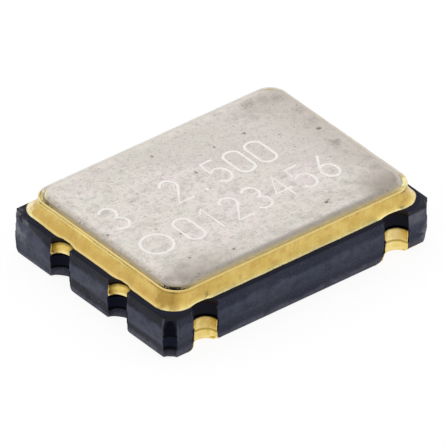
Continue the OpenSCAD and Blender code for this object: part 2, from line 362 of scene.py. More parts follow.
def axes(place):
    """The x, y and z of a place, each as a socket."""
    return add(place.id_data, "SeparateXYZ", {0: place}).outputs[:]


def grain(place, per_mm, detail=3.0, rough=0.6):
    """Cloudy noise with so many lumps to the millimetre."""
    return add(place.id_data, "TexNoise", {"Vector": place, "Scale": per_mm, "Detail": detail,
                                           "Roughness": rough}).outputs["Fac"]


def note(tree, label):
    """A number kept on the corners of a piece."""
    return add(tree, "Attribute", attribute_name=label).outputs["Fac"]


def sway(value, amount):
    """Turns noise round one half into a push both ways."""
    return both_of(minus(value, 0.5), amount)


def past_outline(place, reach_x, reach_y, corner):
    """How far a point lies outside a rounded rectangle round the middle of the package."""
    vector = partial(add, place.id_data, "VectorMath")
    flat = vector({0: place, 1: (1, 1, 0)}, operation="MULTIPLY").outputs[0]
    span = vector({0: flat}, operation="ABSOLUTE").outputs[0]
    past = vector({0: span, 1: (reach_x - corner, reach_y - corner, 0)},
                  operation="SUBTRACT").outputs[0]
    outside = vector({0: past, 1: (0, 0, 0)}, operation="MAXIMUM").outputs[0]
    return minus(vector({0: outside}, operation="LENGTH").outputs["Value"], corner)


def blots(place, spots, z, waver):
    """How strongly a point lies in any of some round marks: x, y, radius and strength."""
    total = None
    for x, y, radius, strength in spots:
        away = add(place.id_data, "VectorMath", {0: place, 1: (x, y, z)}, operation="DISTANCE")
        ragged_way = plus(away.outputs["Value"], sway(waver, radius * 4))
        mark = fade(ragged_way, radius * 1.3, radius * 0.3, 0, strength)
        total = most(total, mark) if total else mark
    return total


def new_finish(name, metallic, specular=0.5, **more):
    """A material with its node tree, its main shader and its place in millimetres. Constants are
    set on the shader's sockets."""
    material = bpy.data.materials.new(name)
    material.use_nodes = True
    tree = material.node_tree
    shader = tree.nodes["Principled BSDF"]
    constants = {"Metallic": metallic, "Specular IOR Level": specular, **more}
    for socket, value in constants.items():
        shader.inputs[socket].default_value = value
    return material, tree, shader, millimetres(tree)


def coat(shader, tone, rough, *bumps):
    """Gives a shader its colour, its roughness and a chain of bumps, each of them a height
    pattern and its depth in millimetres."""
    put(tone, shader.inputs["Base Color"])
    put(rough, shader.inputs["Roughness"])
    normal = None
    for height, depth in bumps:
        sockets = {"Height": height, "Distance": depth * MM, "Strength": 1.0}
        if normal:
            sockets["Normal"] = normal
        normal = add(shader.id_data, "Bump", sockets).outputs["Normal"]
    put(normal, shader.inputs["Normal"])


def mottled(name, metallic, pattern, span, tones, rough, bumps, **more):
    """A finish whose two tones and whose gloss follow one noise. A noise is given as lumps to
    the millimetre and detail, and a bump has its depth after them."""
    material, tree, shader, place = new_finish(name, metallic, **more)
    cloud = grain(place, *pattern)
    coat(shader, blend(fade(cloud, *span), *tones), fade(cloud, 0.3, 0.7, *rough),
         *[(grain(place, per_mm, detail), depth) for per_mm, detail, depth in bumps])
    return material


# %% Floor
FLOOR_SIZE, FLOOR_DROP = 0.6, 0.000004
bpy.ops.mesh.primitive_plane_add(size=FLOOR_SIZE, location=(0, 0, -FLOOR_DROP))
floor = bpy.context.object
floor.name = "floor"
paper = bpy.data.materials.new("white_paper")
paper.use_nodes = True
tree = paper.node_tree
tree.nodes.clear()
rays = tree.nodes.new("ShaderNodeLightPath").outputs
seen = most(most(rays["Is Camera Ray"], rays["Is Glossy Ray"]), rays["Is Transmission Ray"])
matt = add(tree, "BsdfDiffuse", {"Color": grey(0.12)})
white = add(tree, "Emission", {"Color": grey(1), "Strength": 0.90})
lit = add(tree, "AddShader", {0: matt.outputs[0], 1: white.outputs[0]})
plain = add(tree, "BsdfDiffuse", {"Color": grey(0.8)})
both = add(tree, "MixShader", {0: seen, 1: plain.outputs[0], 2: lit.outputs[0]})
add(tree, "OutputMaterial", {"Surface": both.outputs[0]})
floor.data.materials.append(paper)
print("floor is", floor.dimensions.x, "m wide")

# %% Sky and lamps
world = bpy.data.worlds.new("studio")
bpy.context.scene.world = world
world.use_nodes = True
tree = world.node_tree
sky = tree.nodes["Background"]
sky.inputs["Color"].default_value = grey(1)
upward = axes(tree.nodes.new("ShaderNodeTexCoord").outputs["Generated"])[2]
put(fade(upward, 0.10, 0.95, 1.05, 0.62), sky.inputs["Strength"])


def lamp(name, azimuth, elevation, watts, size, distance=0.06):
    """A square soft lamp that points at the package."""
    way = toward(azimuth, elevation)
    bpy.ops.object.light_add(type="AREA", location=way * distance)
    light = bpy.context.object
    light.name = name
    light.rotation_euler = way.to_track_quat("Z", "Y").to_euler()
    light.data.energy = watts
    light.data.size = size


lamp("top_lamp", 150, 62, 0.0055, 0.05)
lamp("left_lamp", -120, 35, 0.0025, 0.03)
lamp("right_lamp", 60, 30, 0.0020, 0.03)

# %% [markdown]
# ## Sizes from the exact model
#
# The finishes and the pieces share these heights and reaches, in millimetres.

# %% Sizes read from the exact model
body_low, body_high = mm_box("ceramic_body")
half_l, half_w = body_high.x, body_high.y
base_z, top_z = body_low.z, body_high.z
floor_z = mm_box("die_pad")[0].z
ledge_z = mm_box("bond_land_1")[0].z
shelf_z = mm_box("crystal_land_1")[0].z
foot_low, foot_high = mm_box("ring_braze")
ring_low, ring_high = mm_box("seal_ring")
lip_z = ring_high.z
lid_low, lid_high = mm_box("lid")
print("ceramic up to", round(top_z, 3), "mm, ring to", round(lip_z, 3), "mm")

# %% [markdown]
# ## Black ceramic
#
# The body is alumina coloured nearly black. It has no glaze: the fired surface is matt with a
# fine grain. Its sides show how it was made. The sheets were scored above and below and then
# snapped, so a slightly paler, rougher band runs along the middle of each side. The bands
# follow the height, so the material reads its height from the object coordinates and fades
# between three tones.

# %% Ceramic material
SNAP_LOW, SNAP_HIGH = 0.41, 0.76
# The tops of the lower three sheets, how thick the dark line is at each, and its colour. The line
# is a joint, widened into painted shadow under the step.
SHEETS, LINES, LINE_TONE = (0.25, 0.57, 0.90), (0.05, 0.03, 0.0), (2, 2, 4)
FOOT_CORNER = 0.45

ceramic, tree, shader, place = new_finish("black_ceramic", 0.0, 0.20)
clouds, lumps, fine = grain(place, 1.3, 3), grain(place, 5.0, 4), grain(place, 26, 3)
across, along, true_height = axes(place)
height = plus(plus(true_height, sway(clouds, 0.20)), sway(lumps, 0.06))
west, east = fade(across, -3.35, -3.45), fade(across, 2.80, 2.90)

# The snapped band begins sharply on the left side and softly on the others.
soft_start = fade(height, SNAP_LOW - 0.16, SNAP_LOW + 0.08)
drop = plus(fade(along, 0.7, 1.2, 0, 0.24), fade(along, -0.7, -1.2, 0, 0.09))
sharp_start = fade(plus(height, drop), SNAP_LOW - 0.05, SNAP_LOW + 0.05)
start = add(tree, "Mix", {"Factor": west, "A": soft_start, "B": sharp_start}).outputs["Result"]
lifted = minus(height, both_of(west, fade(along, 1.3, 2.5, 0, 0.14)))
snapped = both_of(start, fade(lifted, SNAP_HIGH + 0.05, SNAP_HIGH - 0.05))
band_tone = blend(west, blend(fade(true_height, SNAP_LOW, SNAP_HIGH), (52, 56, 72), (64, 68, 84)),
                  (68, 71, 87))

chipped = both_of(both_of(east, fade(along, -2.3, -2.5)),
                  both_of(fade(height, 0.60, 0.76), fade(height, 0.95, 0.88)))
rubbed = both_of(east, fade(height, 0.34, 0.16, 0, 0.7))
ends = most(fade(across, -2.5, -2.9, 0, 1.5), east)
shade = most(both_of(ends, fade(height, 0.90, 0.97, 0, 0.5)),
             both_of(west, fade(lifted, SNAP_HIGH, SNAP_HIGH + 0.08, 0, 0.4)))
knocked = most(blots(place, [(-3.5, 2.57, 0.34, 0.75)], 0.70, lumps),
               blots(place, [(3.42, -2.56, 0.24, 0.75)], 0.30, lumps))
on_top = fade(true_height, top_z - 0.012, top_z - 0.004)
# Painted shade on the top face next to the braze foot: an even dark tone, with little specular.
past_foot = past_outline(place, foot_high.x, foot_high.y, FOOT_CORNER)
foot_shade = both_of(on_top, fade(past_foot, 0.17, 0.05))
# Painted light: the sides get lighter towards the bottom, as light thrown up from the floor.
tone = layers(blend(west, (34, 37, 55), (13, 15, 27)),
              (fade(height, 0.22, 0.09), (82, 83, 95)), (snapped, band_tone),
              (fade(lumps, 0.42, 0.66, 0, 0.55), (29, 31, 46)),
              (fade(fine, 0.50, 0.74, 0, 0.55), (78, 81, 101)),
              (fade(grain(place, 30, 1), 0.70, 0.78, 0, 0.5), (96, 98, 108)),
              (both_of(chipped, fade(lumps, 0.3, 0.6, 0.5, 1.0)), (96, 96, 106)),
              (rubbed, (84, 83, 92)), (shade, (10, 12, 23)), (knocked, (122, 122, 130)),
              (foot_shade, (42, 44, 60)))

# Inside the recesses the walls are painted darker, as painted shade, and lighter towards the
# bottom, as painted light from the floor. At each sheet's top a dark line marks the joint and
# the painted shadow under the step.
inside = both_of(fade(true_height, base_z + 0.001, base_z + 0.005),
                 fade(true_height, top_z - 0.001, top_z - 0.005))
hollow = both_of(note(tree, "hollow"), inside)
warm = both_of(fade(true_height, SHEETS[2] - 0.06, SHEETS[2]), fade(hollow, 0.985, 1))
in_notch = both_of(fade(hollow, 0.92, 0.96), fade(hollow, 0.995, 0.985))
low_half = fade(true_height, SHEETS[1] + 0.01, SHEETS[1] - 0.01)
dark = layers(blend(low_half, (31, 31, 41), (22, 24, 38)),
              (fade(true_height, SHEETS[0], SHEETS[0] - 0.12), (64, 59, 67)),
              (fade(true_height, 0.12, 0.05, 0, 0.7), (104, 100, 106)),
              (warm, (46, 40, 38)), (in_notch, (9, 9, 22)))
for sheet, thick in zip(SHEETS, LINES):
    away = from_value(true_height, sheet + thick / 2)
    dark = blend(fade(away, 0.022 + thick / 2, 0.008 + thick / 2), dark, LINE_TONE)
# Pale mouth edges: partly wear, partly painted highlight.
mouth = both_of(fade(hollow, 0.15, 0.40), fade(hollow, 0.68, 0.45))
tone = layers(tone, (fade(hollow, 0.0, 1.0), dark),
              (both_of(mouth, fade(lumps, 0.40, 0.60, 0.05, 0.5)), (104, 104, 110)))
# Little specular in the recesses and next to the foot, so that they read darker, as painted shade.
put(fade(most(hollow, foot_shade), 0.0, 0.8, 0.20, 0.03), shader.inputs["Specular IOR Level"])
coat(shader, tone, fade(clouds, 0.3, 0.7, 0.50, 0.66), (fine, 0.004), (lumps, 0.006))
print("ceramic material has", len(tree.nodes), "nodes")

# %% [markdown]
# ## Gold plating
#
# Everything that solder or a weld must wet is plated with nickel and then with a very thin
# layer of gold. Thin gold is paler than a solid bar, satin on the stamped ring, and brighter in
# the recesses. It stains a little: brownish clouds, and fine upright marks from the stamping
# tool. Light and shade are painted into its colour too: highlights low on the walls, along the
# foot and on the lip, and shade under the lip, under the ledges and in the front corner.

# %% Gold materials
def gold_finish(name, light, deep, stain, rough, marks):
    """Plating that is cloudy, stained, and marked by a tool along the way that marks stretches."""
    material, tree, shader, place = new_finish(name, 1.0)
    clouds, patches, fine = grain(place, 1.9, 4), grain(place, 6.0, 4), grain(place, 20, 3)
    draws = grain(millimetres(tree, marks), 1.0, 3)
    tone = layers(blend(fade(clouds, 0.35, 0.65), light, deep),
                  (fade(patches, 0.50, 0.72, 0, 0.65), stain),
                  (fade(fine, 0.50, 0.72, 0, 0.60), light),
                  (fade(fine, 0.48, 0.30, 0, 0.40), deep),
                  (fade(draws, 0.50, 0.72, 0, 0.50), stain))
    coat(shader, tone, fade(patches, 0.3, 0.7, rough - 0.05, rough + 0.10),
         (draws, 0.003), (fine, 0.003))
    return material, shader.inputs["Base Color"], place, tone, patches


ring_gold, base_color, place, tone, patches = gold_finish(
    "ring_gold", (224, 197, 116), (208, 177, 94), (202, 157, 84), 0.30, (22, 22, 1.6))
across, along, height = axes(place)
depth, climb = minus(lip_z, height), minus(height, foot_low.z)
west_wall = both_of(fade(across, -3.05, -3.15), fade(depth, 0.13, 0.29, 0, 0.45))
# Painted highlight on the front wall, lighter low down.
front = fade(along, -2.10, -2.25)
low_wall_highlight = both_of(front, fade(climb, 0.17, 0.05, 0, 0.6))
# Painted highlight along the foot's edge, strongest at the front and at the left and right
# corners.
glow = blots(place, [(3.35, -2.15, 0.5, 1), (-3.3, 2.35, 0.5, 1)], foot_low.z, patches)
foot_edge_highlight = both_of(fade(climb, 0.075, 0.02), fade(most(glow, front), 0, 1, 0.5, 1))
# Painted highlights: pale spots near the foot at the left and right corners.
pale = both_of(blots(place, [(-3.15, 2.45, 0.3, 0.8), (3.32, -1.95, 0.3, 0.8)],
                     foot_low.z + 0.05, patches), fade(climb, 0.22, 0.1))
# The lip: a painted highlight on its near sides, and painted glare that turns it pale on the far
# sides and the right end.
far_end = both_of(fade(across, 2.95, 3.12), fade(along, -2.10, -1.80))
past_corner = maths("MINIMUM", plus(across, 3.0), 0.0)
far_side = most(fade(plus(along, both_of(past_corner, 0.8)), 2.10, 2.30), far_end)
on_lip = fade(depth, 0.030, 0.010)
# A number kept on the ring's and braze's corners: weld soot on the land, and painted shade and
# dark reflections under the lip and at the front corner.
soot_and_shade = plus(note(place.id_data, "soot_and_shade"), sway(patches, 0.25))
near_soot_and_shade = both_of(fade(soot_and_shade, 0.15, 0.75, 0, 0.85), minus(1.0, far_side))
# Painted dark reflection on the wall below the lip at the front corner.
dark_corner_reflection = both_of(blots(place, [(-3.24, -2.10, 0.26, 0.6)], lip_z - 0.14, patches),
                 fade(depth, 0.025, 0.045))
# Painted highlight in the hollow under the lip on the left wall.
plain_wall = both_of(fade(across, -3.0, -3.1), fade(along, -1.2, -0.5))
groove = both_of(fade(depth, 0.032, 0.045), fade(depth, 0.110, 0.085, 0, 0.8))
shine = both_of(blots(place, [(3.07, -2.18, 0.24, 1), (-3.22, 2.32, 0.30, 0.8)], lip_z, patches),
                fade(depth, 0.050, 0.030))
put(layers(tone, (west_wall, (192, 154, 82)), (low_wall_highlight, (246, 222, 136)),
           (foot_edge_highlight, (250, 234, 168)), (pale, (252, 240, 194)),
           (both_of(on_lip, fade(far_side, 0, 1, 0.8, 0)), (224, 203, 140)),
           (both_of(on_lip, far_side), blend(far_end, (208, 206, 201), (199, 192, 180))),
           (near_soot_and_shade, (176, 140, 66)),
           (fade(soot_and_shade, 0.65, 0.95), blend(far_side, (198, 177, 110), (190, 180, 164))),
           (dark_corner_reflection, (150, 116, 52)), (both_of(plain_wall, groove), (252, 230, 152)),
           (shine, (240, 231, 174))), base_color)

pad_gold, base_color, place, tone, patches = gold_finish(
    "pad_gold", (238, 217, 146), (224, 199, 124), (200, 163, 88), 0.28, (7, 7, 2))
true_height = axes(place)[2]
above_pad = fade(true_height, base_z, base_z + 0.006)
height = plus(true_height, sway(patches, 0.05))
# Painted shade under the ledge at the top of each terminal lining.
under_ledge = minus(mm_box("terminal_1")[1].z, height)
# Painted light: the terminals get lighter towards the bottom, and a painted highlight lies on the
# right front terminal.
bright = blots(place, [(2.54, -2.33, 0.24, 0.6)], 0.34, patches)
# Painted shade on the right-hand side of both front terminals.
terminal_right_shade = blots(place, [(-2.30, -2.42, 0.22, 0.6), (2.76, -2.42, 0.20, 0.4)], 0.45, patches)
put(layers(tone, (fade(height, floor_z, floor_z - 0.05, 0, 0.55), (246, 220, 128)),
           (both_of(above_pad, fade(height, 0.12, 0.02, 0, 0.7)), (250, 234, 172)),
           (bright, (252, 234, 172)), (terminal_right_shade, (186, 152, 74)),
           (fade(under_ledge, 0.10, 0, 0, 0.45), (150, 132, 88)),
           (fade(under_ledge, 0.035, 0.005, 0, 0.8), (44, 34, 22)),
           (fade(from_value(height, floor_z), 0.048, 0.014, 0, 0.85), (170, 142, 56))),
    base_color)

contact_gold, base_color, place, tone, patches = gold_finish(
    "contact_gold", (244, 218, 132), (222, 188, 92), (196, 158, 64), 0.42, (7, 7, 3))
plated_low, plated_high = (corner.z for corner in mm_box("side_contact_1"))
height = plus(axes(place)[2], sway(patches, 0.04))
# Painted highlight along the lower edge, and painted shade under the braze foot at the top.
put(layers(tone, (fade(height, plated_low + 0.14, plated_low + 0.06, 0, 0.8), (255, 236, 176)),
           (fade(height, plated_high - 0.12, plated_high - 0.04, 0, 0.8), (140, 112, 48)),
           (fade(height, plated_high - 0.045, plated_high - 0.005), (24, 17, 8))), base_color)

land_gold = gold_finish("land_gold", (240, 214, 124), (224, 192, 98), (196, 152, 66), 0.26,
                        (16, 16, 3))[0]
wire_gold = gold_finish("wire_gold", (246, 214, 128), (238, 200, 108), (214, 170, 80), 0.18,
                        (40, 40, 40))[0]
print("gold materials:", [m.name for m in bpy.data.materials if m.name.endswith("gold")])

# %% [markdown]
# ## Nickel lid
#
# The lid is rolled iron-nickel sheet with matt nickel on it, handled by machines and stacked in
# trays. It is mottled warm and cool grey, with scuffs and a few dark pits. Round its edge runs
# the weld band, where two tapered roller electrodes pressed and melted the rim: darker, with
# ripples across it. The band follows the lid's outline: each corner of the mesh knows how far
# in from the edge it lies, and the material reads that number. Light and shade are painted in
# as well: the band's tone changes from side to side, the front and the right end are painted
# dimmer, and dark crescents paint the shadow in the gap to the ring at three corners.

# %% Lid material
WELD_BAND = 0.15
# Smudges, dents, and painted shadows in the gaps to the ring, each as x, y, radius and strength.
SMUDGES = [(2.26, 1.96, 0.15, 0.65), (2.60, 1.89, 0.13, 0.4), (2.88, 1.76, 0.17, 0.55),
           (2.03, 1.51, 0.15, 0.35), (2.97, 1.15, 0.14, 0.5), (2.97, 0.70, 0.15, 0.45),
           (2.81, -0.27, 0.13, 0.8), (2.90, -1.45, 0.13, 0.4), (2.05, -1.55, 0.10, 0.5),
           (-2.49, 0.72, 0.09, 0.5), (-1.68, -1.15, 0.09, 0.5), (-2.45, -1.75, 0.14, 0.5),
           (2.93, -1.15, 0.13, 0.35), (-1.75, 2.07, 0.14, 0.3), (2.75, -0.68, 0.08, 0.4),
           (-2.98, -1.98, 0.15, 0.55), (-2.76, -2.14, 0.13, 0.4), (1.84, -1.91, 0.18, 0.3)]
DENTS = [(-0.14, 0.69, 0.045, 0.6), (2.84, 0.35, 0.05, 0.7), (1.28, -1.83, 0.055, 0.8),
         (1.36, -1.79, 0.04, 0.5), (1.53, 1.17, 0.045, 0.7), (-0.90, -1.12, 0.035, 0.5),
         (-1.73, -0.84, 0.05, 0.8), (-1.26, -1.95, 0.045, 0.65), (-2.97, 0.05, 0.05, 0.8),
         (-2.07, -0.39, 0.035, 0.4), (-0.50, 1.72, 0.04, 0.5), (-2.17, -1.62, 0.04, 0.6)]
GAP_SHADOWS = [(-3.04, -2.17, 0.22, 0.95), (-3.08, 1.93, 0.36, 0.6), (3.03, -1.95, 0.25, 0.5)]

nickel, tree, shader, place = new_finish("lid_nickel", 1.0)
clouds, patches, mid = grain(place, 0.8, 4), grain(place, 3.2, 5, 0.65), grain(place, 6.5, 3)
grit, fine = grain(place, 11, 4, 0.7), grain(place, 26, 3)
rolled = grain(millimetres(tree, (1.2, 16, 1)), 1.0, 3)
scuffs = grain(millimetres(tree, (2.2, 19, 1), (0, 0, 0.9)), 1.0, 3)
across, along, _ = axes(place)
far_side = most(fade(along, 1.9, 2.1), fade(across, 2.85, 3.0))
west, east = fade(across, -2.55, -2.75), fade(across, 2.75, 2.95)

# The weld band is brownish at the edge and grey further in. Its tone by side is painted light
# and shade: pale on the far sides, and on the short left end lighter further in and darker at
# the edge.
inset = note(tree, "inset")
ragged_inset = plus(plus(inset, sway(patches, 0.16)), sway(grit, 0.14))
weld = fade(plus(ragged_inset, fade(along, -1.7, -1.9, 0, 0.03)),
            WELD_BAND + 0.06, WELD_BAND - 0.05)
inner_weld = layers(blend(west, (180, 173, 166), (206, 198, 189)),
                    (fade(grit, 0.45, 0.65, 0, 0.6), (150, 143, 136)))
near_weld = blend(fade(both_of(plus(inset, ragged_inset), 0.5), 0.09, 0.02), inner_weld,
                  blend(west, (189, 175, 142), (172, 158, 128)))
weld_tone = blend(far_side, near_weld, blend(east, (220, 214, 207), (203, 195, 187)))
lit_corner = blots(place, [(-3.14, 2.22, 0.26, 0.9)], lid_high.z, patches)
# Painted shadow in the gap between the lid's edge and the ring, at three corners.
gap = both_of(blots(place, GAP_SHADOWS, lid_low.z, fine), fade(inset, 0.038, 0.022))

# Painted shade: the lid is dimmer towards the front, more so near both ends, and over the right
# end and its back corner.
ends = most(fade(across, -1.0, -2.4, 0.15, 0.85), fade(across, 1.8, 2.6, 0.1, 1.0))
dim_end = most(fade(across, 2.0, 3.1, 0, 0.38),
               blots(place, [(2.6, 1.95, 0.75, 0.4)], lid_high.z, patches))
smudges = both_of(blots(place, SMUDGES, lid_high.z, grit), fade(fine, 0.35, 0.60, 1.0, 0.45))
tone = layers(blend(fade(clouds, 0.36, 0.64), (222, 212, 208), (216, 213, 203)),
              (fade(patches, 0.45, 0.66, 0, 0.65), (203, 200, 192)),
              (fade(mid, 0.48, 0.68, 0, 0.42), (184, 176, 172)),
              (fade(grit, 0.50, 0.70, 0, 0.70), (170, 163, 159)),
              (fade(fine, 0.48, 0.68, 0, 0.65), (240, 235, 231)),
              (fade(rolled, 0.5, 0.8, 0, 0.3), (192, 184, 176)),
              (fade(scuffs, 0.62, 0.80, 0, 0.5), (230, 224, 218)),
              (dim_end, (174, 165, 154)),
              (both_of(fade(along, -1.2, -2.3), ends), (162, 152, 143)),
              (weld, weld_tone),
              (fade(grain(place, 9, 2), 0.70, 0.78, 0, 0.8), (96, 88, 84)),
              (smudges, (140, 132, 126)),
              (blots(place, DENTS, lid_high.z, grit), (70, 64, 62)),
              (both_of(lit_corner, weld), (238, 228, 192)), (gap, (24, 21, 20)))
coat(shader, tone, fade(patches, 0.3, 0.7, 0.40, 0.55), (fine, 0.003), (grit, 0.004),
     (patches, 0.006))
print("lid material has", len(tree.nodes), "nodes")

# %% Laser mark material
laser = mottled("laser_mark", 0.0, (5, 3), (0.35, 0.7), ((251, 246, 241), (243, 237, 232)),
                (0.6, 0.8), [(40, 2, 0.002)], specular=0.3)
print("laser mark material has", len(laser.node_tree.nodes), "nodes")

# %% [markdown]
# ## The ceramic body
#
# Seen from above, the body is a rectangle with half-round recesses in its sides and a small
# quarter-round notch at each corner: the remains of holes punched through the sheets before
# they were fired and snapped apart. So its outline is made first, by cutting pegs out of a thin
# blank. Then the top face is extruded upwards level by level, and the corners of each level are
# moved a little, for the lean of the score cuts, the step between sheets and the wear on the
# teeth.

# %% Sizes of the body
BLANK = 0.012
TERMINAL_R, CONTACT_R, NOTCH_R = 0.30, 0.295, 0.18
PUNCH_STEP = 0.012
SCORE_LEAN, FOOT_LEAN, EDGE_BREAK, SNAP_STEP = 0.022, 0.022, 0.03, 0.010
WEST_DRIFT, FRONT_DRIFT = 0.040, 0.020

terminal_x, contact_y = mm_middle("terminal_2", 0), mm_middle("side_contact_2", 1)
recesses = [(-terminal_x + FRONT_DRIFT, -half_w, TERMINAL_R), (-terminal_x, half_w, TERMINAL_R),
            (terminal_x, -half_w, TERMINAL_R), (terminal_x, half_w, TERMINAL_R)]
recesses += [(x * half_l, y * contact_y + (WEST_DRIFT if x < 0 else 0), CONTACT_R)
             for x in (-1, 1) for y in (-1, 1)]

# The corner holes were never punched quite true: left front, left back, right front, right back.
notches = [(-half_l + 0.019, -half_w - 0.017, 0.192), (-half_l - 0.06, half_w + 0.055, NOTCH_R),
           (half_l, -half_w, NOTCH_R), (half_l, half_w, NOTCH_R)]
print("recesses at", [(round(x, 2), round(y, 2)) for x, y, _ in recesses])

# %% Outline of the body
SPACING, SHORTEST = 0.08, 0.2
body = block("package_body", (-half_l, -half_w, base_z), (half_l, half_w, base_z + BLANK))
for x, y, r in recesses + notches:
    cut(body, peg(x, y, r, base_z - 1, base_z + 1))

edit(body)
on_side = lambda p: abs(abs(p.x) - half_l) < TINY or abs(abs(p.y) - half_w) < TINY
mouths = pick("EDGE", lambda e: upright(e) and on_side(middle(e)))
bpy.ops.mesh.bevel(offset=0.010, segments=2, affect="EDGES", clamp_overlap=False)
straights = {(round(middle(e).x, 4), round(middle(e).y, 4)): e.calc_length()
             for e in bmesh.from_edit_mesh(body.data).edges if e.calc_length() > SHORTEST}
for (x, y), length in sorted(straights.items()):
    # One straight at a time: two cut edges of one face would be joined by a new edge across it.
    pick("EDGE", lambda e: math.hypot(middle(e).x - x, middle(e).y - y) < TINY * 2)
    bpy.ops.mesh.subdivide(number_cuts=max(1, round(length / SPACING) - 1))
done()
print("the outline has", mouths, "mouth edges and", len(body.data.vertices) // 2, "corners")

# %% Extrude the outline through all levels
levels = [0.045, 0.06, 0.085, 0.12, 0.17, 0.21, floor_z - 0.004, floor_z + 0.004, 0.30, 0.35,
          SNAP_LOW - 0.012, SNAP_LOW + 0.008, 0.46, 0.51, ledge_z - 0.004, ledge_z + 0.004, 0.62,
          0.68, SNAP_HIGH - 0.008, SNAP_HIGH + 0.012, 0.82, shelf_z - 0.004, shelf_z + 0.004, 0.95,
          top_z - 0.012, top_z]
edit(body)
pick("FACE", lambda f: f.normal.z > 0.9)
z = base_z + BLANK
for level in levels:
    if level - z > 0.002:
        bpy.ops.mesh.extrude_region_move(TRANSFORM_OT_translate={"value": (0, 0, level - z)})
        z = level
done()
print("extruded to", round(z, 3), "mm through", len(levels), "levels")


# %% Lean, step and wear
# How far the foot of a tooth is rounded where it meets a recess or notch: before and after it,
# counted along x on the long sides and along y on the short ones.
ROUNDED = {
    (-1, -1): (0.15, 0.12), (1, -1): (0.27, 0.06), (-1, 1): (0.10, 0.05), (1, 1): (0.05, 0.12),
    "west": ((0.09, 0.09), (0.14, 0.09)), "east": ((0.05, 0.14), (0.07, 0.11)),
}
NOTCH_ROUNDED = (0.05, 0.16, 0.19, 0.10)
# Wear reaches so far along a side from a mouth, and so far in from the side.
REACH, REACH_IN = 0.35, 0.25
RAGGED, DENTED = 0.012, 0.006
# A point this near the circle of a hole lies on its wall, and this near a side, on the side.
ON_WALL, ON_SIDE = 0.03, 0.004
# The right end of the front side is broken away at its foot, from here on and so high.
BROKEN_FROM, BROKEN_UP, UPRIGHT_SHARE = 2.8, 0.055, 0.15
# The left recesses are a little deeper in the first sheet, the left back notch is a little wider
# above the snapped band, and the left front notch narrows upwards from the second sheet.
DEEPER, OPENED, NARROWER = 0.02, 0.014, 0.045


def lean(z):
    """How far the side lies inside the package's full outline at a height."""
    if z < base_z + EDGE_BREAK:
        return FOOT_LEAN + (base_z + EDGE_BREAK - z) * 0.6
    if z < SNAP_LOW - 0.002:
        share = (SNAP_LOW - z) / (SNAP_LOW - base_z - EDGE_BREAK)
        return SNAP_STEP + (FOOT_LEAN - SNAP_STEP) * share
    if z > top_z - 0.006:
        return SCORE_LEAN + 0.010
    if z > SNAP_HIGH + 0.002:
        return SNAP_STEP + (SCORE_LEAN - SNAP_STEP) * (z - SNAP_HIGH) / (top_z - SNAP_HIGH)
    return 0.0


def wide(z):
    """Whether the punched holes are wide at a height: in the first and third sheets they are."""
    return z < floor_z or ledge_z < z < shelf_z


def rounding(hole, after):
    """The radius at the foot of the tooth before or after a recess or notch."""
    x, y, r = hole
    if hole in notches:
        return NOTCH_ROUNDED[notches.index(hole)]
    if abs(x) > half_l - TINY:
        return ROUNDED["west" if x < 0 else "east"][y > 0][after]
    return ROUNDED[(round(math.copysign(1, x)), round(math.copysign(1, y)))][after]


def wear(p):
    """Moves a point near a mouth: the foot of each tooth is rounded, and its end a bit ragged."""
    for key, hole in enumerate(recesses + notches):
        x, y, r = hole
        along_x = half_w - abs(p.y) < half_l - abs(p.x)
        depth = min(half_w - abs(p.y), half_l - abs(p.x))
        away, sideways = (p.x - x, p.y - y) if along_x else (p.y - y, p.x - x)
        gap = abs(away) - r
        if gap > REACH or abs(sideways) > r + 0.05 or depth > REACH_IN or gap < -r:
            continue
        radius = rounding(hole, away > 0)
        up = p.z - base_z
        back = radius - math.sqrt(max(radius ** 2 - (radius - up) ** 2, 0)) if up < radius else 0
        back += RAGGED * max(0.0, noise.noise(Vector((key * 7.3, p.z * 9.0, away))))
        share = (1 - max(gap, 0) / REACH) * (1 - depth / REACH_IN)
        move = math.copysign(back * share, away)
        p += Vector((move, 0, 0)) if along_x else Vector((0, move, 0))


def stay_inside(p):
    """Pulls a point back to the leaning sides. Two sides snapped off almost upright."""
    slope = lean(p.z)
    if p.x > BROKEN_FROM and p.y < 0:
        slope += max(0.0, BROKEN_UP - (p.z - base_z))
    p.x = min(max(p.x, slope - half_l), half_l - slope * UPRIGHT_SHARE)
    p.y = min(max(p.y, slope - half_w), half_w - slope * UPRIGHT_SHARE)


edit(body)
bm = bmesh.from_edit_mesh(body.data)
for v in bm.verts:
    p = v.co
    for x, y, r in recesses + notches:
        away = Vector((p.x - x, p.y - y, 0))
        if away.length - r < ON_WALL:
            if wide(p.z):
                p += away.normalized() * PUNCH_STEP
            if x < TINY - half_l and p.z < floor_z and abs(y) < half_w / 2:
                p.x += DEEPER * max(0.0, away.normalized().x)
            if (x, y, r) == notches[1] and p.z > SNAP_HIGH:
                p += away.normalized() * OPENED
            if (x, y, r) == notches[0] and p.z > ledge_z:
                p -= away.normalized() * NARROWER * (1 + max(0.0, p.z - ledge_z - 0.2) * 5)
    wear(p)
    if SNAP_LOW < p.z < SNAP_HIGH and min(half_l - abs(p.x), half_w - abs(p.y)) < ON_SIDE:
        dent = DENTED * max(0.0, noise.noise(p * 3.5) + 0.2)
        p.x -= math.copysign(dent, p.x) if half_l - abs(p.x) < ON_SIDE else 0
        p.y -= math.copysign(dent, p.y) if half_w - abs(p.y) < ON_SIDE else 0
    stay_inside(p)
bmesh.update_edit_mesh(body.data)
done()
print("body reaches", round(max(v.co.x for v in body.data.vertices), 4), "mm from the middle")

